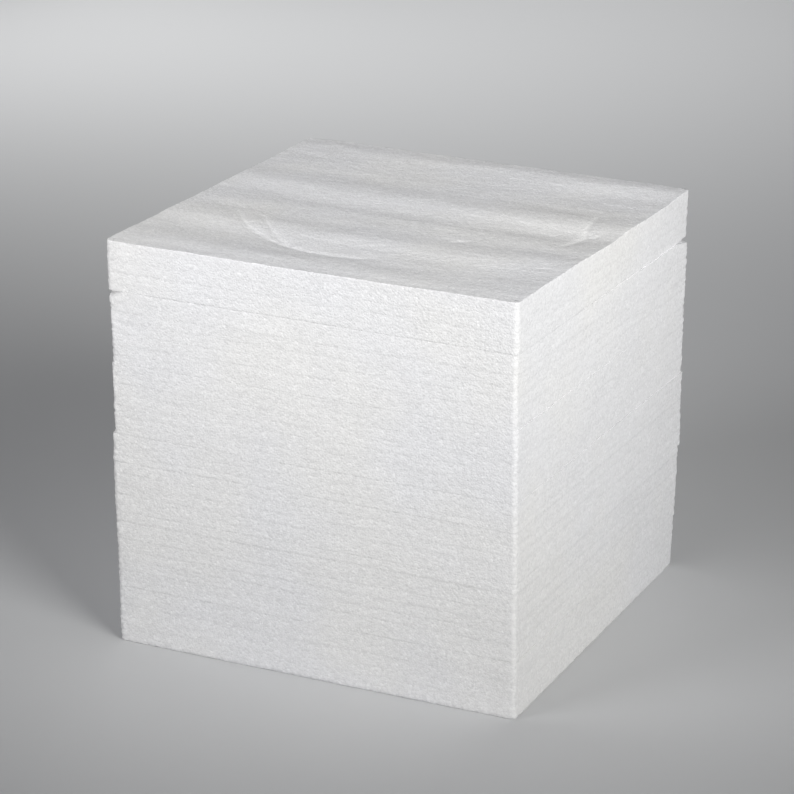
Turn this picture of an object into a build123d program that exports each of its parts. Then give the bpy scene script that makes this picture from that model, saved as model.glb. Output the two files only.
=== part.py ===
from build123d import *
import os

# Block of white expanded polyethylene packing foam.
# A stack of five bonded planks makes the body, and a loose slab of the same
# foam lies on top of it.  Each plank was cut on its own, so its four corners
# stand a little out of square and step past the plank below.
#
# Frame: +Z up, origin at the bottom centre.  -Y is the broad front side and
# +X the right side.  Millimetres.

# ------------------------------------------------------------ driving sizes
block_height = 300.0          # floor to top of the loose slab

z_base = 0.0                  # joints between the planks, from the floor up
z_lower = 42.8
z_middle = 100.1
z_second = 158.4
z_upper = 210.6
z_slab = 263.6                # the loose slab rests here
z_top = block_height

# Corners of the block on the floor and at the top, going round from the left
# front corner: left front, right front, right back, left back.
floor_corners = ((-152.1, -156.4), (157.0, -152.6), (154.5, 156.4), (-155.4, 154.6))
top_corners = ((-157.9, -154.1), (152.6, -155.2), (157.9, 151.5), (-156.4, 155.7))
inward = ((1, 1), (-1, 1), (-1, -1), (1, -1))

corner_radius = 1.6           # upright corners, softened by handling
edge_break = 0.8              # soft outer edge of the block
joint_break = 0.4             # fine groove along each bonded joint
seam_break = 1.2              # wider groove where the loose slab meets the block

# The slab lies hollow at two opposite corners, where slab and block fall away
# from each other and leave a wedge-shaped gap.
gap_left_reach = 9.0          # how far the wedge runs in from the left front corner
gap_left_block = 4.0          # drop of the block's corner there
gap_left_slab = 0.5           # lift of the slab's corner there
gap_right_reach = 22.0        # how far the wedge runs in from the right back corner
gap_right_block = 3.4         # drop of the block's corner there
gap_right_slab = 1.4          # lift of the slab's corner there


def corners_at(z, shifts=(0.0, 0.0, 0.0, 0.0), inset=0.0):
    """Four corners of the cut at height z; the shifts are along X."""
    t = z / block_height
    return [
        (f[0] + (c[0] - f[0]) * t + s + i[0] * inset, f[1] + (c[1] - f[1]) * t + i[1] * inset)
        for f, c, s, i in zip(floor_corners, top_corners, shifts, inward)
    ]


# ------------------------------------------------------------- base plank
base_foot = (0.0, 0.0, -0.9, 0.0)
base_head = (-0.2, 0.2, -0.2, -0.3)
with BuildPart() as base_plank:
    for z, shifts, inset in (
        (z_base, base_foot, edge_break),
        (z_base + edge_break, base_foot, 0.0),
        (z_lower - joint_break, base_head, 0.0),
        (z_lower, base_head, joint_break),
    ):
        with BuildSketch(Plane.XY.offset(z)) as base_cut:
            with BuildLine():
                Polyline(*corners_at(z, shifts, inset), close=True)
            make_face()
            fillet(base_cut.vertices(), corner_radius)
    loft(ruled=True)

# ------------------------------------------------------------ lower plank
lower_foot = (0.5, -0.3, 0.2, 0.4)
lower_head = (-0.4, 0.2, 0.5, -0.2)
with BuildPart() as lower_plank:
    for z, shifts, inset in (
        (z_lower, lower_foot, joint_break),
        (z_lower + joint_break, lower_foot, 0.0),
        (z_middle - joint_break, lower_head, 0.0),
        (z_middle, lower_head, joint_break),
    ):
        with BuildSketch(Plane.XY.offset(z)) as lower_cut:
            with BuildLine():
                Polyline(*corners_at(z, shifts, inset), close=True)
            make_face()
            fillet(lower_cut.vertices(), corner_radius)
    loft(ruled=True)

# ----------------------------------------------------------- middle plank
middle_foot = (-0.7, 0.3, 1.8, 0.3)
middle_head = (-0.9, 0.0, 1.1, -0.4)
with BuildPart() as middle_plank:
    for z, shifts, inset in (
        (z_middle, middle_foot, joint_break),
        (z_middle + joint_break, middle_foot, 0.0),
        (z_second - joint_break, middle_head, 0.0),
        (z_second, middle_head, joint_break),
    ):
        with BuildSketch(Plane.XY.offset(z)) as middle_cut:
            with BuildLine():
                Polyline(*corners_at(z, shifts, inset), close=True)
            make_face()
            fillet(middle_cut.vertices(), corner_radius)
    loft(ruled=True)

# ----------------------------------------------------------- second plank
second_foot = (0.6, -0.2, 0.3, 0.5)
second_head = (0.2, 0.2, 0.0, -0.1)
with BuildPart() as second_plank:
    for z, shifts, inset in (
        (z_second, second_foot, joint_break),
        (z_second + joint_break, second_foot, 0.0),
        (z_upper - joint_break, second_head, 0.0),
        (z_upper, second_head, joint_break),
    ):
        with BuildSketch(Plane.XY.offset(z)) as second_cut:
            with BuildLine():
                Polyline(*corners_at(z, shifts, inset), close=True)
            make_face()
            fillet(second_cut.vertices(), corner_radius)
    loft(ruled=True)

# ------------------------------------------------------------ upper plank
upper_foot = (1.5, -0.3, 0.1, 0.4)
upper_head = (0.0, 0.0, 0.4, 0.0)
left = corners_at(z_slab)[0]      # left front corner at the seam
right = corners_at(z_slab)[2]     # right back corner at the seam
with BuildPart() as upper_plank:
    for z, shifts, inset in (
        (z_upper, upper_foot, joint_break),
        (z_upper + joint_break, upper_foot, 0.0),
        (z_slab - seam_break, upper_head, 0.0),
        (z_slab, upper_head, seam_break),
    ):
        with BuildSketch(Plane.XY.offset(z)) as upper_cut:
            with BuildLine():
                Polyline(*corners_at(z, shifts, inset), close=True)
            make_face()
            fillet(upper_cut.vertices(), corner_radius)
    loft(ruled=True)
    # two corners of the block fall away under the slab
    split(
        bisect_by=Plane(
            origin=(left[0], left[1], z_slab - gap_left_block),
            z_dir=(-gap_left_block, -gap_left_block, gap_left_reach),
        ),
        keep=Keep.BOTTOM,
    )
    split(
        bisect_by=Plane(
            origin=(right[0], right[1], z_slab - gap_right_block),
            z_dir=(gap_right_block, gap_right_block, gap_right_reach),
        ),
        keep=Keep.BOTTOM,
    )

# --------------------------------------------------------- loose top slab
slab_foot = (-0.4, 0.6, -0.8, -0.3)
slab_head = (-0.1, 0.5, 0.1, -0.2)
with BuildPart() as top_slab:
    for z, shifts, inset in (
        (z_slab, slab_foot, seam_break),
        (z_slab + seam_break, slab_foot, 0.0),
        (z_top - edge_break, slab_head, 0.0),
        (z_top, slab_head, edge_break),
    ):
        with BuildSketch(Plane.XY.offset(z)) as slab_cut:
            with BuildLine():
                Polyline(*corners_at(z, shifts, inset), close=True)
            make_face()
            fillet(slab_cut.vertices(), corner_radius)
    loft(ruled=True)
    # the slab's own two lifted corners
    split(
        bisect_by=Plane(
            origin=(left[0], left[1], z_slab + gap_left_slab),
            z_dir=(gap_left_slab, gap_left_slab, gap_left_reach),
        ),
        keep=Keep.TOP,
    )
    split(
        bisect_by=Plane(
            origin=(right[0], right[1], z_slab + gap_right_slab),
            z_dir=(-gap_right_slab, -gap_right_slab, gap_right_reach),
        ),
        keep=Keep.TOP,
    )

# ------------------------------------------------------------------ export
os.makedirs("parts", exist_ok=True)

base_plank.part.label = "base_plank"
lower_plank.part.label = "lower_plank"
middle_plank.part.label = "middle_plank"
second_plank.part.label = "second_plank"
upper_plank.part.label = "upper_plank"
top_slab.part.label = "top_slab"

export_step(base_plank.part, "parts/base_plank.step")
export_step(lower_plank.part, "parts/lower_plank.step")
export_step(middle_plank.part, "parts/middle_plank.step")
export_step(second_plank.part, "parts/second_plank.step")
export_step(upper_plank.part, "parts/upper_plank.step")
export_step(top_slab.part, "parts/top_slab.step")

for piece in (base_plank, lower_plank, middle_plank, second_plank, upper_plank, top_slab):
    box = piece.part.bounding_box()
    print(
        piece.part.label,
        "volume %.0f" % piece.part.volume,
        "x %.2f %.2f" % (box.min.X, box.max.X),
        "y %.2f %.2f" % (box.min.Y, box.max.Y),
        "z %.2f %.2f" % (box.min.Z, box.max.Z),
        "solids", len(piece.part.solids()),
        "valid", piece.part.is_valid,
    )
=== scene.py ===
import math

import bpy
import numpy as np
from mathutils import Matrix, Vector


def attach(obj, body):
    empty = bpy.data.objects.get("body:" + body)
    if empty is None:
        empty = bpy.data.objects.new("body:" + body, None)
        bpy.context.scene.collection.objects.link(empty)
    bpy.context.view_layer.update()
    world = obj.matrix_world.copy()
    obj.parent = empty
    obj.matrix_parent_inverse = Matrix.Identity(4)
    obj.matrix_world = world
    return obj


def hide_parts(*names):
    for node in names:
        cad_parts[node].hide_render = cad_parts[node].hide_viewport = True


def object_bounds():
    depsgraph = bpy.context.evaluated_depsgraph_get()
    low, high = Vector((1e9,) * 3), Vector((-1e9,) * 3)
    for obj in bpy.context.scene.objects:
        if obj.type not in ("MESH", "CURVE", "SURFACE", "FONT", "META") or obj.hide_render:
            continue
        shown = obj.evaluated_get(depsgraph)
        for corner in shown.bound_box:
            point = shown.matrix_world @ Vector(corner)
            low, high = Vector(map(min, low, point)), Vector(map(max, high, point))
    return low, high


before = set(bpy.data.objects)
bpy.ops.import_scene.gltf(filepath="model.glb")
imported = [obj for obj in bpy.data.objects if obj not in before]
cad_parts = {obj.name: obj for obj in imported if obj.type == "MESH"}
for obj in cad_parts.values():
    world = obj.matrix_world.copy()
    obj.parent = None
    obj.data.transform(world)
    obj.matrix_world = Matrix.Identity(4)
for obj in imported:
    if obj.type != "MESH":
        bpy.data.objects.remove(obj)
cad_low, cad_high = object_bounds()

MM = 0.001

# =====================================================================
# Camera: long lens, turned to the right of the broad front side and
# looking down on the block.
# =====================================================================
AZ, EL, ROLL = math.radians(25.307), math.radians(19.646), math.radians(0.571)
FOCAL_PX, PIXELS = 3137.24, 794.0
back = Vector((math.sin(AZ) * math.cos(EL), -math.cos(AZ) * math.cos(EL), math.sin(EL)))
right0 = Vector((math.cos(AZ), math.sin(AZ), 0.0))
up0 = back.cross(right0)
right = right0 * math.cos(ROLL) + up0 * math.sin(ROLL)
up = -right0 * math.sin(ROLL) + up0 * math.cos(ROLL)
middle = Vector((0.0, 0.0, (cad_low[2] + cad_high[2]) / 2))
eye = middle + right * -0.006008 + up * 0.010394 + back * 2.285452

cam_data = bpy.data.cameras.new("camera")
cam_data.sensor_width = 36.0
cam_data.lens = FOCAL_PX / PIXELS * 36.0
cam_data.clip_start, cam_data.clip_end = 0.05, 60.0
cam = bpy.data.objects.new("camera", cam_data)
m = Matrix.Identity(4)
for i, axis in enumerate((right, up, back)):
    m[0][i], m[1][i], m[2][i] = axis
m[0][3], m[1][3], m[2][3] = eye
cam.matrix_world = m
bpy.context.scene.collection.objects.link(cam)
bpy.context.scene.camera = cam

# =====================================================================
# Noise, all seeded, on arrays of points in millimetres
# =====================================================================
def rnd(ix, iy, iz, seed):
    """A number from 0 to 1 for each lattice point."""
    with np.errstate(over="ignore"):
        h = (
            ix.astype(np.int64).astype(np.uint32) * np.uint32(374761393)
            + iy.astype(np.int64).astype(np.uint32) * np.uint32(668265263)
            + iz.astype(np.int64).astype(np.uint32) * np.uint32(2246822519)
            + np.uint32((seed * 3266489917) & 0xFFFFFFFF)
        )
        h ^= h >> np.uint32(13)
        h *= np.uint32(1274126177)
        h ^= h >> np.uint32(16)
        h *= np.uint32(2654435761)
        h ^= h >> np.uint32(15)
    return (h & np.uint32(0xFFFFFF)).astype(np.float64) / float(0x1000000)


def soft(p, size, seed):
    """Smooth noise from -1 to 1 with features of that size (one number or three)."""
    q = p / np.asarray(size, float)
    i = np.floor(q)
    f = q - i
    f = f * f * f * (f * (f * 6 - 15) + 10)
    out = 0.0
    for dx in (0, 1):
        wx = f[:, 0] if dx else 1 - f[:, 0]
        for dy in (0, 1):
            wy = f[:, 1] if dy else 1 - f[:, 1]
            for dz in (0, 1):
                wz = f[:, 2] if dz else 1 - f[:, 2]
                out = out + wx * wy * wz * rnd(i[:, 0] + dx, i[:, 1] + dy, i[:, 2] + dz, seed)
    return out * 2 - 1


def cells(p, size, seed):
    """Closed foam cells: distance to the nearest cell centre, the gap to the next, and a number for the cell."""
    q = p / np.asarray(size, float)
    i = np.floor(q)
    f1 = np.full(len(p), 9.0)
    f2 = np.full(len(p), 9.0)
    own = np.zeros(len(p))
    for dx in (-1, 0, 1):
        for dy in (-1, 0, 1):
            for dz in (-1, 0, 1):
                jx, jy, jz = i[:, 0] + dx, i[:, 1] + dy, i[:, 2] + dz
                d = np.sqrt(
                    (jx + rnd(jx, jy, jz, seed) - q[:, 0]) ** 2
                    + (jy + rnd(jx, jy, jz, seed + 1) - q[:, 1]) ** 2
                    + (jz + rnd(jx, jy, jz, seed + 2) - q[:, 2]) ** 2
                )
                near = d < f1
                f2 = np.where(near, f1, np.minimum(f2, d))
                own = np.where(near, rnd(jx, jy, jz, seed + 3), own)
                f1 = np.where(near, d, f1)
    return f1, f2 - f1, own


def step(x, a, b):
    t = np.clip((x - a) / (b - a), 0.0, 1.0)
    return t * t * (3 - 2 * t)


# =====================================================================
# The stack of laminated sheets. Heights in mm of the lines between the
# sheets, and how open each line is. They run right round the block.
# =====================================================================
LINES = (
    (-8.0, 0.4), (4.9, 0.9), (12.4, 1.2), (19.9, 1.2), (28.5, 1.6), (34.5, 0.9), (42.8, 2.4), (48.4, 0.8),
    (55.5, 2.2), (63.4, 1.8), (70.9, 2.6), (79.9, 2.5), (84.4, 1.0), (93.0, 3.1), (100.1, 1.8), (105.0, 0.8),
    (112.9, 2.0), (120.8, 1.9), (128.6, 1.7), (137.6, 3.1), (142.5, 1.5), (150.4, 1.2), (158.4, 2.2), (164.3, 0.9),
    (171.8, 1.3), (180.0, 1.5), (187.9, 1.7), (196.1, 1.6), (201.8, 0.9), (210.6, 1.6), (217.5, 0.9), (224.3, 1.8),
    (232.9, 1.7), (240.8, 1.6), (249.0, 2.2), (256.9, 0.8), (263.6, 2.7), (269.5, 1.3), (277.5, 1.7), (286.1, 1.3),
    (294.4, 0.8), (302.0, 0.4),
)
LINE_Z = np.array([a for a, b in LINES])
LINE_S = np.array([b for a, b in LINES])


def ply_of(p):
    """Position in the stack of sheets: whole numbers are the lines between them. Also how open the nearest line is."""
    z = p[:, 2] + 0.35 * soft(p, (38, 38, 16), 51) + 0.14 * soft(p, (9, 9, 9), 52)
    t = np.interp(z, LINE_Z, np.arange(len(LINE_Z)))
    k = np.rint(t).astype(int)
    return t, k, LINE_S[k], (z - LINE_Z[k])


# =====================================================================
# One piece: a closed mesh that follows its CAD solid's corners
# =====================================================================
def corners_of(node):
    """Four floor-side and four top-side corners of a plank, in mm, from its CAD solid, going round from the left front."""
    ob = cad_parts[node]
    v = np.empty(len(ob.data.vertices) * 3)
    ob.data.vertices.foreach_get("co", v)
    v = v.reshape(-1, 3)
    mw = np.array(ob.matrix_world)
    v = (v @ mw[:3, :3].T + mw[:3, 3]) * 1000
    lo, hi = v[:, 2].min(), v[:, 2].max()
    rings = []
    for band in (v[:, 2] < lo + 4.5, v[:, 2] > hi - 4.5):
        w = v[band]
        ring = []
        for sx, sy in ((-1, -1), (1, -1), (1, 1), (-1, 1)):
            c = w[np.argmax(sx * w[:, 0] + sy * w[:, 1])]
            near = w[np.hypot(w[:, 0] - c[0], w[:, 1] - c[1]) < 6.0]
            ring.append((sx * (sx * near[:, 0]).max(), sy * (sy * near[:, 1]).max()))
        rings.append(np.array(ring))
    return lo, hi, rings[0], rings[1]


def plank(name, pitch=(0.95, 0.95, 1.45, 1.45), row=1.0, edge=(0.6, 0.6), corner=3.0, cap_low=9.0, cap_high=9.0):
    """Grid points of a plank with their outward directions. Returns a dict of arrays and the faces."""
    lo, hi, low, high = corners_of(name)
    arc = 4
    # the columns, going round
    side, along, turn, place = [], [], [], []
    for i in range(4):
        a, b = low[i], low[(i + 1) % 4]
        n = max(8, int(round(np.hypot(*(b - a)) / pitch[i])))
        for k in range(n + 1):
            side.append(i); along.append(k / n); turn.append(0.0); place.append(i + 0.01 + 0.98 * k / n)
        for k in range(1, arc):
            side.append(i); along.append(2.0); turn.append(k / arc); place.append(i + 0.99 + 0.02 * k / arc)
    side, along, turn, place = (np.array(x) for x in (side, along, turn, place))

    def ring(z, inset):
        t = (z - lo) / (hi - lo)
        c = low + (high - low) * t
        c = c + np.array(((1, 1), (-1, 1), (-1, -1), (1, -1))) * inset
        r = corner
        start, end = c[side], c[(side + 1) % 4]
        d = end - start
        d /= np.hypot(d[:, 0], d[:, 1])[:, None]
        nxt = c[(side + 2) % 4] - end
        nxt /= np.hypot(nxt[:, 0], nxt[:, 1])[:, None]
        out = np.stack([d[:, 1], -d[:, 0]], 1)
        flat = start + d * r + (end - start - 2 * d * r) * np.clip(along, 0, 1)[:, None]
        th = turn * math.pi / 2
        centre = end - d * r + nxt * r
        bend = -nxt * np.cos(th)[:, None] + d * np.sin(th)[:, None]
        on_arc = along > 1.5
        p = np.where(on_arc[:, None], centre + bend * r, flat)
        n = np.where(on_arc[:, None], bend, out)
        return p, n

    e0, e1 = edge
    # a quarter turn at each rim: z rises as the outline goes out
    rows = [(lo, e0 + 1.1, -1.0, 0.0)]
    for k in range(0, 4):
        a = math.pi / 2 * k / 4
        rows.append((lo + e0 * (1 - math.cos(a)), e0 * (1 - math.sin(a)), -math.cos(a), math.sin(a)))
    n = max(4, int(round((hi - lo - e0 - e1) / row)))
    for k in range(n + 1):
        rows.append((lo + e0 + (hi - lo - e0 - e1) * k / n, 0.0, 0.0, 1.0))
    for k in range(1, 5):
        a = math.pi / 2 * k / 4
        rows.append((hi - e1 * (1 - math.sin(a)), e1 * (1 - math.cos(a)), math.sin(a), math.cos(a)))
    rows.append((hi, e1 + 1.1, 1.0, 0.0))

    pts, nrm, away = [], [], []
    for z, inset, nz, nr in rows:
        p, nn = ring(z, inset)
        pts.append(np.column_stack([p, np.full(len(p), z)]))
        nrm.append(np.column_stack([nn * nr, np.full(len(p), nz)]))
        away.append(nn)
    cols, count = len(side), len(rows)
    pts, nrm, away = np.concatenate(pts), np.concatenate(nrm), np.concatenate(away)
    j = np.arange(cols)
    j2 = (j + 1) % cols
    quads = []
    for k in range(count - 1):
        quads.append(np.stack([k * cols + j, k * cols + j2, (k + 1) * cols + j2, (k + 1) * cols + j], 1))
    quads = np.concatenate(quads)
    kind = np.zeros(len(pts), int)          # 0 wall, 1 top, 2 underside

    tris = []
    extra_p, extra_n, extra_k = [], [], []
    base = len(pts)
    extra_q = []
    for which, pitch_cap in ((2, cap_low), (1, cap_high)):
        z = hi if which == 1 else lo
        c = high if which == 1 else low
        inset = (e1 if which == 1 else e0) + 4.0
        c = c + np.array(((1, 1), (-1, 1), (-1, -1), (1, -1))) * inset
        nx = max(6, int(round((c[1, 0] - c[0, 0]) / pitch_cap)))
        ny = max(6, int(round((c[2, 1] - c[1, 1]) / pitch_cap)))
        u, v = np.meshgrid(np.arange(nx + 1) / nx, np.arange(ny + 1) / ny)
        u, v = u.ravel()[:, None], v.ravel()[:, None]
        xy = c[0] * (1 - u) * (1 - v) + c[1] * u * (1 - v) + c[2] * u * v + c[3] * (1 - u) * v
        extra_p.append(np.column_stack([xy, np.full(len(xy), z)]))
        extra_n.append(np.tile((0.0, 0.0, 1.0 if which == 1 else -1.0), (len(xy), 1)))
        extra_k.append(np.full(len(xy), which))
        g = base + np.arange((nx + 1) * (ny + 1)).reshape(ny + 1, nx + 1)
        q = np.stack([g[:-1, :-1].ravel(), g[:-1, 1:].ravel(), g[1:, 1:].ravel(), g[1:, :-1].ravel()], 1)
        extra_q.append(q if which == 1 else q[:, ::-1])
        loop = list(g[0, :-1]) + list(g[:-1, -1]) + list(g[-1, :0:-1]) + list(g[:0:-1, 0])
        where = [k / nx for k in range(nx)] + [1 + k / ny for k in range(ny)] + [2 + k / nx for k in range(nx)] + [3 + k / ny for k in range(ny)]
        row0 = (count - 1) * cols if which == 1 else 0
        outer = [row0 + k for k in range(cols)] + [row0]
        at = list(place) + [place[0] + 4.0]
        inner, inner_at = loop + [loop[0]], where + [4.0]
        a = b = 0
        while a < len(outer) - 1 or b < len(inner) - 1:
            go_out = b == len(inner) - 1 or (a < len(outer) - 1 and at[a + 1] - 0.01 <= inner_at[b + 1])
            if go_out:
                t = (outer[a], outer[a + 1], inner[b])
                a += 1
            else:
                t = (inner[b], outer[a], inner[b + 1])
                b += 1
            tris.append(t if which == 1 else t[::-1])
        base += len(xy)
    pts = np.concatenate([pts, *extra_p])
    nrm = np.concatenate([nrm, *extra_n])
    kind = np.concatenate([kind, *extra_k])
    away = np.concatenate([away, np.zeros((len(pts) - len(away), 2))])
    quads = np.concatenate([quads, *extra_q])
    return {
        "name": name, "p": pts, "n": nrm, "away": away, "kind": kind, "quads": quads, "tris": np.array(tris),
        "lo": lo, "hi": hi, "low": low, "high": high, "cols": cols, "rows": count,
        "side": side, "along": along, "turn": turn, "edge": edge,
    }


def to_mesh(g, label, ply, opening):
    """Makes the Blender object of a grid; its layout for flat patterns is added afterwards by lay_out."""
    p = g["p"] * MM
    me = bpy.data.meshes.new(label)
    nq, nt = len(g["quads"]), len(g["tris"])
    me.vertices.add(len(p))
    me.vertices.foreach_set("co", p.astype(np.float32).ravel())
    loops = np.concatenate([g["quads"].ravel(), g["tris"].ravel()]).astype(np.int32)
    me.loops.add(len(loops))
    me.loops.foreach_set("vertex_index", loops)
    starts = np.concatenate([np.arange(nq) * 4, nq * 4 + np.arange(nt) * 3]).astype(np.int32)
    me.polygons.add(nq + nt)
    me.polygons.foreach_set("loop_start", starts)
    me.polygons.foreach_set("loop_total", np.concatenate([np.full(nq, 4), np.full(nt, 3)]).astype(np.int32))
    # bonded rims stay sharp, so that the sides run on smoothly over a joint
    smooth = np.ones(nq + nt, bool)
    for rim, first_row in ((g["edge"][0], 0), (g["edge"][1], g["rows"] - 6)):
        if rim <= BONDED:
            smooth[first_row * g["cols"]:(first_row + 5) * g["cols"]] = False
    me.polygons.foreach_set("use_smooth", smooth)
    me.update(calc_edges=True)
    me.validate(verbose=False)
    for key, val in (("ply", ply), ("opening", opening)):
        at = me.attributes.new(key, "FLOAT", "POINT")
        at.data.foreach_set("value", val.astype(np.float32))
    ob = bpy.data.objects.new(label, me)
    bpy.context.scene.collection.objects.link(ob)
    return ob


# =====================================================================
# Surface relief
# =====================================================================
def wall_relief(p, rough=1.0, lines=1.0):
    """How far a cut side stands in or out, in mm: waviness of the cut, sheets and the lines between them, and torn cells."""
    t, k, s, dz = ply_of(p)
    sheet = np.floor(t)
    w = 0.35 * soft(p, (80, 80, 60), 11) + 0.16 * soft(p, (26, 26, 14), 12) + 0.10 * soft(p, (90, 90, 70), 15)
    # each sheet stands a little in or out of its neighbours, and that changes along it
    def stand(k):
        return soft(np.column_stack([p[:, 0] / 60.0, p[:, 1] / 60.0, k * 3.7]), 1.0, 13)
    part = t - sheet
    w += 0.09 * (stand(sheet) + (stand(sheet + 1) - stand(sheet)) * step(part, 0.6, 1.0))
    # the line between two sheets: a shallow groove, open in places and closed in others
    open_ = 0.6 + 0.4 * soft(p, (30, 30, 6), 14)
    w -= lines * 0.010 * s * open_ * np.exp(-((dz / 1.5) ** 2))
    # cells
    f1, gap, own = cells(p, (2.7, 2.7, 2.0), 20)
    big, gap2, own2 = cells(p, (5.2, 5.2, 3.4), 30)
    w += rough * (0.15 * (0.55 - f1) + 0.08 * (own - 0.5) + 0.07 * (own2 - 0.5) * step(gap2, 0.0, 0.2))
    # one cell torn deeper than the rest, high on the front side
    far2 = (p[:, 0] + 64.0) ** 2 + (p[:, 2] - 251.0) ** 2
    w -= 0.9 * np.exp(-far2 / 0.9) * (p[:, 1] < -120)
    # a few torn-out cells
    torn = (own > 0.965) * step(gap, 0.0, 0.35)
    w -= rough * 0.22 * torn
    return w, t, s


def to_sides(p, g):
    """Distance in from the left front and right back upright corners, for the gaps under the slab."""
    lf, rb = g["low"][0] * 0.5 + g["high"][0] * 0.5, g["low"][2] * 0.5 + g["high"][2] * 0.5
    a = np.maximum(p[:, 0] - lf[0], 0) + np.maximum(p[:, 1] - lf[1], 0)
    b = np.maximum(rb[0] - p[:, 0], 0) + np.maximum(rb[1] - p[:, 1], 0)
    return a, b


# ---------------------------------------------------------------------
# Top of the loose slab
# ---------------------------------------------------------------------
# Long soft ripples that run left to right. Where the top tips towards the
# front, and how much; the heights come from adding these slopes up, and the
# slopes also colour the top with painted light and shade.
RIPPLES = (
    (146, -0.9, 8), (130, 1.2, 12), (108, 0.3, 12), (80, 0.1, 12), (54, -1.05, 14), (22, 1.4, 15), (-8, -0.85, 10),
    (-52, -0.85, 12), (-82, 0.95, 15), (-122, -0.9, 13), (-146, 0.85, 10),
)
RIPPLE_Y = np.linspace(-170, 170, 681)
slope = sum(h * np.exp(-(((RIPPLE_Y - c) / w) ** 2)) for c, h, w in RIPPLES)
slope -= slope.mean()
RIPPLE_Z = np.cumsum(slope) * (RIPPLE_Y[1] - RIPPLE_Y[0]) * 0.050
RIPPLE_Z -= np.polyval(np.polyfit(RIPPLE_Y, RIPPLE_Z, 1), RIPPLE_Y)
RIPPLE_Z -= RIPPLE_Z.max() * 0.5


def from_plan(points):
    """Plan marks, in parts of 800 of the top's width from the left and of its depth from the back, to mm."""
    return np.array([(-157.0 + c / 800.0 * 313.0, 154.5 - r / 800.0 * 309.0) for c, r in points])


# Creases pressed into the top: a broken ring, about five sixths of the top across
CREASES = (
    (from_plan(((96, 486), (120, 524), (150, 566), (182, 602), (224, 634), (268, 659), (306, 674), (340, 683), (372, 687), (404, 687), (440, 681), (470, 671), (500, 658))), 1.25, 3.6, 8.5),
    (from_plan(((168, 520), (184, 548), (208, 578), (238, 612), (268, 643), (296, 668), (316, 680))), 0.95, 2.8, 4.0),
    (from_plan(((706, 226), (714, 252), (722, 300), (727, 342), (738, 372), (737, 396), (730, 432), (716, 474))), 1.15, 3.0, 7.5),
    (from_plan(((738, 372), (752, 368), (768, 362))), 0.6, 2.4, 3.4),
    (from_plan(((540, 528), (556, 515), (572, 506))), 0.5, 2.4, 3.4),
)


def crease(x, y, line, depth, inner, outer):
    """A pressed crease: a sharp valley with a soft fall on each side, dying out at its ends."""
    best = np.full(len(x), 1e9)
    sgn = np.ones(len(x))
    where = np.zeros(len(x))
    seg = np.hypot(*(line[1:] - line[:-1]).T)
    run = np.concatenate([[0], np.cumsum(seg)])
    for i in range(len(line) - 1):
        a, b = line[i], line[i + 1]
        d = b - a
        t = np.clip(((x - a[0]) * d[0] + (y - a[1]) * d[1]) / (d @ d), 0, 1)
        ex, ey = x - (a[0] + d[0] * t), y - (a[1] + d[1] * t)
        dist = np.hypot(ex, ey)
        near = dist < best
        best = np.where(near, dist, best)
        where = np.where(near, (run[i] + t * seg[i]) / run[-1], where)
        mid = a + d * t[:, None]
        side_ = np.hypot(x - 11.0, y - 27.0) - np.hypot(mid[:, 0] - 11.0, mid[:, 1] - 27.0)
        sgn = np.where(near, np.sign(side_), sgn)
    width = np.where(sgn > 0, outer, inner)
    fade = step(where, 0.0, 0.22) * step(1 - where, 0.0, 0.2)
    return -depth * fade * np.exp(-best / width), best, sgn, fade


def top_height(p):
    """Height of the slab's top over its plane, in mm, how near a crease each point is (for a painted highlight along
    the creases), and the ripples' slopes (for painted light and shade on the ripples).
    """
    x, y = p[:, 0], p[:, 1]
    flat = np.column_stack([x, y, np.zeros(len(x))])
    sway = 8.0 * soft(flat, (130, 300, 50), 201) + 3.0 * soft(flat, (45, 90, 50), 202)
    amp = 1.55 + 1.0 * soft(flat, (150, 70, 50), 203)
    z = np.interp(y + sway, RIPPLE_Y, RIPPLE_Z) * amp * (1 - 0.65 * np.exp(-(157 - np.abs(x)) / 28.0))
    z += 0.40 * soft(flat, (95, 34, 50), 204) + 0.20 * soft(flat, (32, 12, 50), 205)
    mark = np.zeros(len(x))
    for line, depth, inner, outer in CREASES:
        d, best, sgn, fade = crease(x, y, line, depth, inner, outer)
        z += d
        # a narrow band along each crease's valley, where a highlight is painted into the colour
        mark = np.maximum(mark, fade * np.exp(-((best / 1.1) ** 2)))
    # painted light and shade: the ripples' slope, plus streaky noise, colours front-facing slopes lighter and
    # back-facing ones darker
    tone = np.interp(y + sway, RIPPLE_Y, slope) * (0.75 + 0.5 * soft(flat, (110, 60, 50), 206)) + 0.5 * soft(flat, (60, 7, 50), 207)
    return z, mark, tone


# =====================================================================
# Build the pieces
# =====================================================================
SEEDS = {"base_plank": 300, "lower_plank": 400, "middle_plank": 500, "second_plank": 600, "upper_plank": 700, "top_slab": 800}
BONDED = 0.012      # rim of a bonded joint, closed
EDGES = {
    "base_plank": (1.1, BONDED), "lower_plank": (BONDED, BONDED), "middle_plank": (BONDED, BONDED),
    "second_plank": (BONDED, BONDED), "upper_plank": (BONDED, 0.07), "top_slab": (0.05, 0.3),
}


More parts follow.
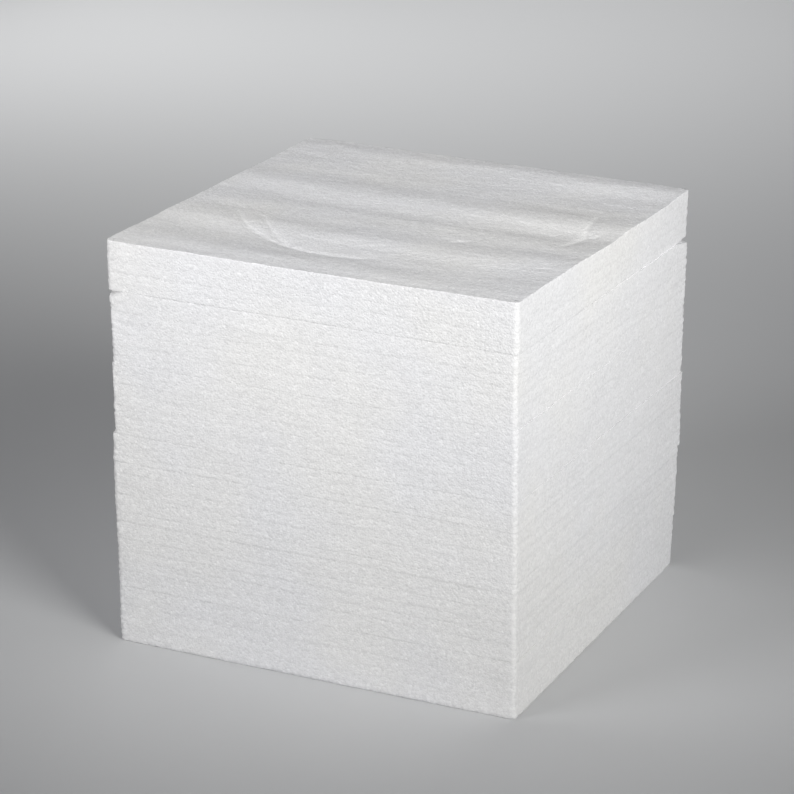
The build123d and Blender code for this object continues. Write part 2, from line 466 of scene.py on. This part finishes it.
def make(name):
    last = name == "top_slab"
    first = name == "base_plank"
    g = plank(
        name,
        edge=EDGES[name],
        cap_low=3.2 if first else 9.0,
        cap_high=1.5 if last else (6.0 if name == "upper_plank" else 9.0),
        row=1.0,
    )
    p, n, kind = g["p"], g["n"], g["kind"]
    lo, hi = g["lo"], g["hi"]
    seed = SEEDS[name]
    wall = np.hypot(n[:, 0], n[:, 1])
    move, ply, opening = wall_relief(p, rough=0.75 if last else 1.0)
    # rims and the first row of each cap move with the side, so that no lip is left at a joint
    moved = p.copy()
    moved[:, :2] += g["away"] * move[:, None]
    # keep what rests on a neighbour or the floor on its own side of the joint
    moved[:, 2] = np.clip(moved[:, 2], lo, None) if not last else np.maximum(moved[:, 2], lo)
    if not last:
        moved[:, 2] = np.minimum(moved[:, 2], hi)
    # the upright corners are torn ragged, a cell at a time
    ring = (g["low"] + g["high"]) / 2
    near = np.min([np.hypot(p[:, 0] - c[0], p[:, 1] - c[1]) for c in ring], axis=0)
    f1, gap, own = cells(p, (2.6, 2.6, 2.1), 44)
    calm = np.where((p[:, 0] > 0) & (p[:, 1] < 0), 0.35, 1.0) * (0.6 if last else 1.0)
    moved[:, :2] -= g["away"] * (np.exp(-near / 3.4) * calm * (1.5 * own + 0.45 * f1 - 0.6))[:, None]
    mark = np.zeros(len(p))
    band = np.zeros(len(p))
    if first:
        # ragged lower edge
        f1, gap, own = cells(p, (2.4, 2.4, 2.4), seed + 40)
        low_edge = 1 - step(p[:, 2], lo + 0.4, lo + 3.2)
        moved[:, :2] -= g["away"] * (low_edge * (0.25 + 0.55 * own))[:, None]
    if name == "upper_plank":
        a, b = to_sides(p, g)
        drop = 5.2 * np.clip(1 - a / 10.0, 0, 1) ** 0.8 + 4.2 * np.clip(1 - b / 23.0, 0, 1) ** 0.9
        drop += 0.10 * (0.5 + 0.5 * soft(p, (14, 14, 9), seed + 31)) * (wall > 0.05)
        moved[:, 2] -= drop * step(p[:, 2], hi - 13.0, hi - 1.0)
    if last:
        a, b = to_sides(p, g)
        lift = 0.5 * np.clip(1 - a / 9.0, 0, 1) ** 1.2 + 1.4 * np.clip(1 - b / 22.0, 0, 1) ** 1.2
        moved[:, 2] += lift * (1 - step(p[:, 2], lo + 1.0, lo + 12.0))
        h, mark, band = top_height(p)
        up_ = step(p[:, 2], lo + 6.0, hi)
        moved[:, 2] += h * up_
        # fine grain of the top's skin
        f1, gap, own = cells(p, (2.6, 2.6, 2.6), seed + 50)
        top = (kind == 1) | ((n[:, 2] > 0.5) & (kind == 0))
        moved[:, 2] += np.where(top, 0.26 * (0.5 - f1) + 0.16 * (own - 0.5) + 0.14 * soft(p, (6, 2.4, 5), seed + 51), 0.0)
        # the painted crease highlight and the ripples' painted light and shade are kept to the top
        mark = mark * top
        band = band * top
    g["p"] = moved
    ob = to_mesh(g, "foam_" + name, ply, opening)
    at = ob.data.attributes.new("mark", "FLOAT", "POINT")
    at.data.foreach_set("value", mark.astype(np.float32))
    at = ob.data.attributes.new("band", "FLOAT", "POINT")
    at.data.foreach_set("value", band.astype(np.float32))
    lay_out(ob, g)
    return ob


def lay_out(ob, g):
    """A flat layout: four strips for the sides, and the top and underside beside them."""
    me = ob.data
    lo, hi = g["lo"], g["hi"]
    tall = hi - lo + 2.0
    loops = len(me.loops)
    vi = np.empty(loops, np.int32)
    me.loops.foreach_get("vertex_index", vi)
    start = np.empty(len(me.polygons), np.int32)
    total = np.empty(len(me.polygons), np.int32)
    me.polygons.foreach_get("loop_start", start)
    me.polygons.foreach_get("loop_total", total)
    face = np.repeat(np.arange(len(start)), total)
    p = g["p"][vi]
    nq_wall = (g["rows"] - 1) * g["cols"]
    col = np.arange(nq_wall) % g["cols"]
    row = np.arange(nq_wall) // g["cols"]
    # strips: a wall face belongs to its column's side
    strip = np.full(len(start), -1)
    strip[:nq_wall] = g["side"][col]
    e_rows = 1
    cap = np.zeros(len(start), int)
    cap[:nq_wall][row < e_rows] = 2
    cap[:nq_wall][row >= g["rows"] - 1 - e_rows] = 1
    # the extra quads: underside first, then the top; then the stitching triangles
    cz = np.bincount(face, p[:, 2]) / total
    rest = np.arange(len(start)) >= nq_wall
    cap[rest] = np.where(cz[rest] > (lo + hi) / 2, 1, 2)
    big_top, big_low = g["name"] == "top_slab", g["name"] == "base_plank"
    width = 330.0
    gap = 3.0
    f = face
    s, c = strip[f], cap[f]
    # along a side: use the running coordinate of that side
    run = np.select([s == 0, s == 1, s == 2, s == 3], [p[:, 0], p[:, 1], -p[:, 0], -p[:, 1]], 0.0) + 165.0
    u = run
    v = s * (tall + gap) + (p[:, 2] - lo)
    height = 4 * (tall + gap)
    cap_scale_top = 1.0 if big_top else 0.12
    cap_scale_low = 1.0 if big_low else 0.12
    ut, vt = (p[:, 0] + 165.0) * cap_scale_top, (p[:, 1] + 165.0) * cap_scale_top
    ul, vl = (p[:, 0] + 165.0) * cap_scale_low, (p[:, 1] + 165.0) * cap_scale_low
    if big_top or big_low:
        # the large cap sits above the strips, the small one beside it
        if big_top:
            u = np.where(c == 1, ut, u); v = np.where(c == 1, height + gap + vt, v)
            u = np.where(c == 2, 334.0 + ul, u); v = np.where(c == 2, height + gap + vl, v)
        else:
            u = np.where(c == 2, ul, u); v = np.where(c == 2, height + gap + vl, v)
            u = np.where(c == 1, 334.0 + ut, u); v = np.where(c == 1, height + gap + vt, v)
        size = height + gap + 334.0
    else:
        u = np.where(c == 1, ut, u); v = np.where(c == 1, height + gap + vt, v)
        u = np.where(c == 2, 60.0 + ul, u); v = np.where(c == 2, height + gap + vl, v)
        size = max(334.0, height + gap + 45.0)
    uv = np.stack([(u + 1.0) / (size + 2.0), (v + 1.0) / (size + 2.0)], 1)
    if size < 335.0 or not (big_top or big_low):
        uv[:, 0] = (u + 1.0) / 336.0
    layer = me.uv_layers.new(name="OFBake")
    layer.data.foreach_set("uv", uv.astype(np.float32).ravel())


# =====================================================================
# Foam material
# =====================================================================
def node(nt, kind, x=0, y=0, **values):
    nd = nt.nodes.new(kind)
    nd.location = (x, y)
    for k, v in values.items():
        if hasattr(nd, k):
            setattr(nd, k, v)
        else:
            nd.inputs[k].default_value = v
    return nd


def math_node(nt, op, a, b=None, clamp=False):
    nd = nt.nodes.new("ShaderNodeMath")
    nd.operation = op
    nd.use_clamp = clamp
    for i, v in enumerate((a, b)):
        if v is None:
            continue
        if isinstance(v, (int, float)):
            nd.inputs[i].default_value = v
        else:
            nt.links.new(v, nd.inputs[i])
    return nd.outputs[0]


def remap(nt, v, a, b, c, d):
    nd = nt.nodes.new("ShaderNodeMapRange")
    nd.interpolation_type = "SMOOTHSTEP"
    nt.links.new(v, nd.inputs["Value"])
    for k, x in (("From Min", a), ("From Max", b), ("To Min", c), ("To Max", d)):
        nd.inputs[k].default_value = x
    return nd.outputs["Result"]


def foam(name, skin):
    """White closed-cell polyethylene: fine cells with thin bright walls, sheet lines, faint tint changes and painted
    glints. skin is for the slab, whose top kept its moulded skin; with skin the colour also gets a painted highlight
    along the creases and painted light and shade on the ripples.
    """
    mat = bpy.data.materials.new(name)
    mat.use_nodes = True
    nt = mat.node_tree
    nt.nodes.clear()
    L = nt.links.new
    out = node(nt, "ShaderNodeOutputMaterial", 1400, 0)
    bsdf = node(nt, "ShaderNodeBsdfPrincipled", 1100, 0)
    L(bsdf.outputs[0], out.inputs["Surface"])
    co = node(nt, "ShaderNodeTexCoord", -1600, 0)
    ob = co.outputs["Object"]
    geo = node(nt, "ShaderNodeNewGeometry", -1600, -400)

    # flattened cells: squeezed in the direction that the sheets were pressed
    squeeze = node(nt, "ShaderNodeMapping", -1400, 0)
    squeeze.inputs["Scale"].default_value = (1.0, 1.0, 1.12)
    L(ob, squeeze.inputs["Vector"])
    cell = node(nt, "ShaderNodeTexVoronoi", -1200, 200, voronoi_dimensions="3D", feature="F1")
    cell.inputs["Scale"].default_value = 560.0
    cell.inputs["Randomness"].default_value = 1.0
    L(squeeze.outputs[0], cell.inputs["Vector"])
    wall = node(nt, "ShaderNodeTexVoronoi", -1200, -100, voronoi_dimensions="3D", feature="DISTANCE_TO_EDGE")
    wall.inputs["Scale"].default_value = 560.0
    L(squeeze.outputs[0], wall.inputs["Vector"])
    small = node(nt, "ShaderNodeTexVoronoi", -1200, -300, voronoi_dimensions="3D", feature="F1")
    small.inputs["Scale"].default_value = 900.0
    L(squeeze.outputs[0], small.inputs["Vector"])
    grain = node(nt, "ShaderNodeTexNoise", -1200, -500)
    grain.inputs["Scale"].default_value = 900.0
    grain.inputs["Detail"].default_value = 3.0
    grain.inputs["Roughness"].default_value = 0.6
    L(squeeze.outputs[0], grain.inputs["Vector"])
    blotch = node(nt, "ShaderNodeTexNoise", -1200, -700)
    blotch.inputs["Scale"].default_value = 26.0
    blotch.inputs["Detail"].default_value = 4.0
    L(ob, blotch.inputs["Vector"])
    streak_map = node(nt, "ShaderNodeMapping", -1400, -900)
    streak_map.inputs["Scale"].default_value = (1.0, 1.0, 9.0)
    L(ob, streak_map.inputs["Vector"])
    streak = node(nt, "ShaderNodeTexNoise", -1200, -900)
    streak.inputs["Scale"].default_value = 34.0
    streak.inputs["Detail"].default_value = 4.0
    L(streak_map.outputs[0], streak.inputs["Vector"])

    # the lines between the sheets, from the piece's own count of sheets
    ply = node(nt, "ShaderNodeAttribute", -1600, -1200, attribute_name="ply")
    gap = node(nt, "ShaderNodeAttribute", -1600, -1400, attribute_name="opening")
    near = math_node(nt, "PINGPONG", math_node(nt, "ADD", ply.outputs["Fac"], 64.0), 0.5)   # 0 on a line, 0.5 in a sheet's middle
    line = remap(nt, near, 0.0, 0.2, 1.0, 0.0)
    wide = remap(nt, near, 0.0, 0.34, 1.0, 0.0)
    up_z = node(nt, "ShaderNodeSeparateXYZ", -1400, -1300)
    L(geo.outputs["True Normal"], up_z.inputs[0])
    upright = remap(nt, math_node(nt, "ABSOLUTE", up_z.outputs["Z"]), 0.55, 0.85, 1.0, 0.0)
    broken = remap(nt, streak.outputs["Fac"], 0.32, 0.62, 0.45, 1.0)
    strength = math_node(nt, "MULTIPLY", math_node(nt, "MULTIPLY", gap.outputs["Fac"], broken), upright)
    dark_line = math_node(nt, "MULTIPLY", line, math_node(nt, "MULTIPLY", strength, 0.012))
    dark_wide = math_node(nt, "MULTIPLY", wide, math_node(nt, "MULTIPLY", strength, 0.010))

    # one faint tone for each sheet
    sheet = node(nt, "ShaderNodeTexWhiteNoise", -1000, -1200, noise_dimensions="1D")
    L(math_node(nt, "FLOOR", ply.outputs["Fac"]), sheet.inputs["W"])
    sheet_tone = math_node(nt, "MULTIPLY", math_node(nt, "MULTIPLY", math_node(nt, "SUBTRACT", sheet.outputs["Value"], 0.5), 0.014), upright)

    # cell tone: brighter walls, some cells duller
    split = node(nt, "ShaderNodeSeparateColor", -1000, 200)
    L(cell.outputs["Color"], split.inputs[0])
    rim = remap(nt, wall.outputs["Distance"], 0.0, 0.16, 1.0, 0.0)
    amount = 0.10
    tone = math_node(nt, "MULTIPLY", math_node(nt, "SUBTRACT", split.outputs[0], 0.5), amount)
    tone = math_node(nt, "ADD", tone, math_node(nt, "MULTIPLY", rim, 0.035))
    tone = math_node(nt, "ADD", tone, math_node(nt, "MULTIPLY", math_node(nt, "SUBTRACT", grain.outputs["Fac"], 0.5), 0.10))
    tone = math_node(nt, "ADD", tone, math_node(nt, "MULTIPLY", math_node(nt, "SUBTRACT", blotch.outputs["Fac"], 0.5), 0.035))
    tone = math_node(nt, "ADD", tone, math_node(nt, "MULTIPLY", math_node(nt, "SUBTRACT", streak.outputs["Fac"], 0.5), 0.03))
    # painted glints: a few cells coloured brighter, standing in for cells that catch the light
    painted_glint = remap(nt, split.outputs[1], 0.88, 0.97, 0.0, 0.085)
    tone = math_node(nt, "ADD", tone, painted_glint)
    tone = math_node(nt, "ADD", tone, sheet_tone)
    tone = math_node(nt, "SUBTRACT", tone, dark_line)
    tone = math_node(nt, "SUBTRACT", tone, dark_wide)
    if skin:
        # painted highlight: the skin is coloured a brighter white along the valley of each crease
        painted_crease_highlight = node(nt, "ShaderNodeAttribute", -600, -1500, attribute_name="mark")
        tone = math_node(nt, "ADD", tone, math_node(nt, "MULTIPLY", painted_crease_highlight.outputs["Fac"], 0.13))
        # painted light and shade: slopes of the ripples that face the front are coloured lighter and those that face
        # back darker, with some streaky random tone
        painted_ripple_shade = node(nt, "ShaderNodeAttribute", -600, -1700, attribute_name="band")
        tone = math_node(nt, "ADD", tone, math_node(nt, "MULTIPLY", painted_ripple_shade.outputs["Fac"], 0.044))
    value = math_node(nt, "ADD", tone, 0.872, clamp=True)
    # tint drifts between a cool and a warm white
    drift = node(nt, "ShaderNodeTexNoise", -1000, -700)
    drift.inputs["Scale"].default_value = 9.0
    drift.inputs["Detail"].default_value = 2.0
    L(ob, drift.inputs["Vector"])
    tint = node(nt, "ShaderNodeMix", 400, -300, data_type="RGBA")
    L(remap(nt, drift.outputs["Fac"], 0.35, 0.65, 0.0, 1.0), tint.inputs["Factor"])
    tint.inputs["A"].default_value = (0.985, 0.985, 1.0, 1.0)
    tint.inputs["B"].default_value = (1.0, 0.994, 0.985, 1.0)
    base = node(nt, "ShaderNodeMix", 700, 0, data_type="RGBA", blend_type="MULTIPLY")
    base.inputs["Factor"].default_value = 1.0
    grey = node(nt, "ShaderNodeCombineColor", 500, 0)
    for i in range(3):
        L(value, grey.inputs[i])
    L(grey.outputs[0], base.inputs["A"])
    L(tint.outputs["Result"], base.inputs["B"])
    L(base.outputs["Result"], bsdf.inputs["Base Color"])

    # gloss: torn walls scatter, a few flat cell skins flash
    shine = remap(nt, split.outputs[1], 0.80, 0.97, 0.0, 1.0)
    rough = math_node(nt, "SUBTRACT", 0.62 if skin else 0.68, math_node(nt, "MULTIPLY", shine, 0.34))
    L(rough, bsdf.inputs["Roughness"])
    bsdf.inputs["Specular IOR Level"].default_value = 0.5
    bsdf.inputs["IOR"].default_value = 1.45

    # relief finer than the mesh
    dome = math_node(nt, "SUBTRACT", 1.0, cell.outputs["Distance"])
    relief = math_node(nt, "ADD", math_node(nt, "MULTIPLY", dome, 0.9), math_node(nt, "MULTIPLY", math_node(nt, "SUBTRACT", 1.0, small.outputs["Distance"]), 0.35))
    relief = math_node(nt, "ADD", relief, math_node(nt, "MULTIPLY", grain.outputs["Fac"], 0.5))
    relief = math_node(nt, "ADD", relief, math_node(nt, "MULTIPLY", split.outputs[2], 0.5))
    relief = math_node(nt, "SUBTRACT", relief, math_node(nt, "MULTIPLY", line, math_node(nt, "MULTIPLY", strength, 0.14)))
    bump = node(nt, "ShaderNodeBump", 800, -500)
    bump.inputs["Strength"].default_value = 0.62 if skin else 0.55
    bump.inputs["Distance"].default_value = 0.00045
    L(relief, bump.inputs["Height"])
    L(bump.outputs[0], bsdf.inputs["Normal"])
    return mat


block_foam = foam("block_foam", False)
slab_foam = foam("slab_foam", True)

for name in ("base_plank", "lower_plank", "middle_plank", "second_plank", "upper_plank", "top_slab"):
    piece = make(name)
    piece.data.materials.append(slab_foam if name == "top_slab" else block_foam)
    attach(piece, "root")
    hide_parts(name)
    print(piece.name, "triangles", sum(len(f.vertices) - 2 for f in piece.data.polygons))

# =====================================================================
# Floor and soft studio light
# =====================================================================
floor_mesh = bpy.data.meshes.new("floor")
floor_mesh.from_pydata([(-9, -9, 0), (9, -9, 0), (9, 9, 0), (-9, 9, 0)], [], [(0, 1, 2, 3)])
floor = bpy.data.objects.new("floor", floor_mesh)
bpy.context.scene.collection.objects.link(floor)
fm = bpy.data.materials.new("floor")
fm.use_nodes = True
fb = fm.node_tree.nodes["Principled BSDF"]
fb.inputs["Base Color"].default_value = (0.66, 0.665, 0.67, 1.0)
fb.inputs["Roughness"].default_value = 0.85
fb.inputs["Specular IOR Level"].default_value = 0.2
floor.data.materials.append(fm)


def area(name, at, look, size, power, spread, color=(1.0, 1.0, 1.0)):
    data = bpy.data.lights.new(name, "AREA")
    data.shape = "RECTANGLE"
    data.size, data.size_y = size
    data.energy = power
    data.spread = math.radians(spread)
    data.color = color
    ob = bpy.data.objects.new(name, data)
    d = Vector(look) - Vector(at)
    ob.location = at
    ob.rotation_euler = d.to_track_quat("-Z", "Y").to_euler()
    bpy.context.scene.collection.objects.link(ob)
    return ob


area("key", (0.96, -0.56, 0.78), (0.05, 0.0, 0.43), (0.8, 0.8), 2.95, 62, (1.0, 0.998, 0.985))
area("front", (-0.58, -0.86, 0.75), (-0.10, -0.05, 0.46), (0.8, 0.7), 1.5, 62, (0.985, 0.985, 1.0))
area("rear", (-1.7, 1.5, 0.42), (0.0, 0.0, 0.15), (1.2, 0.6), 2.6, 110)
area("ground", (-0.85, 1.85, 1.45), (-0.85, 1.85, 0.0), (1.7, 1.7), 6.6, 76)

world = bpy.data.worlds.new("studio")
bpy.context.scene.world = world
world.use_nodes = True
bg = world.node_tree.nodes["Background"]
bg.inputs["Color"].default_value = (0.96, 0.97, 1.0, 1.0)
bg.inputs["Strength"].default_value = 0.14

bpy.context.scene.view_settings.view_transform = "Standard"
bpy.context.scene.view_settings.look = "None"
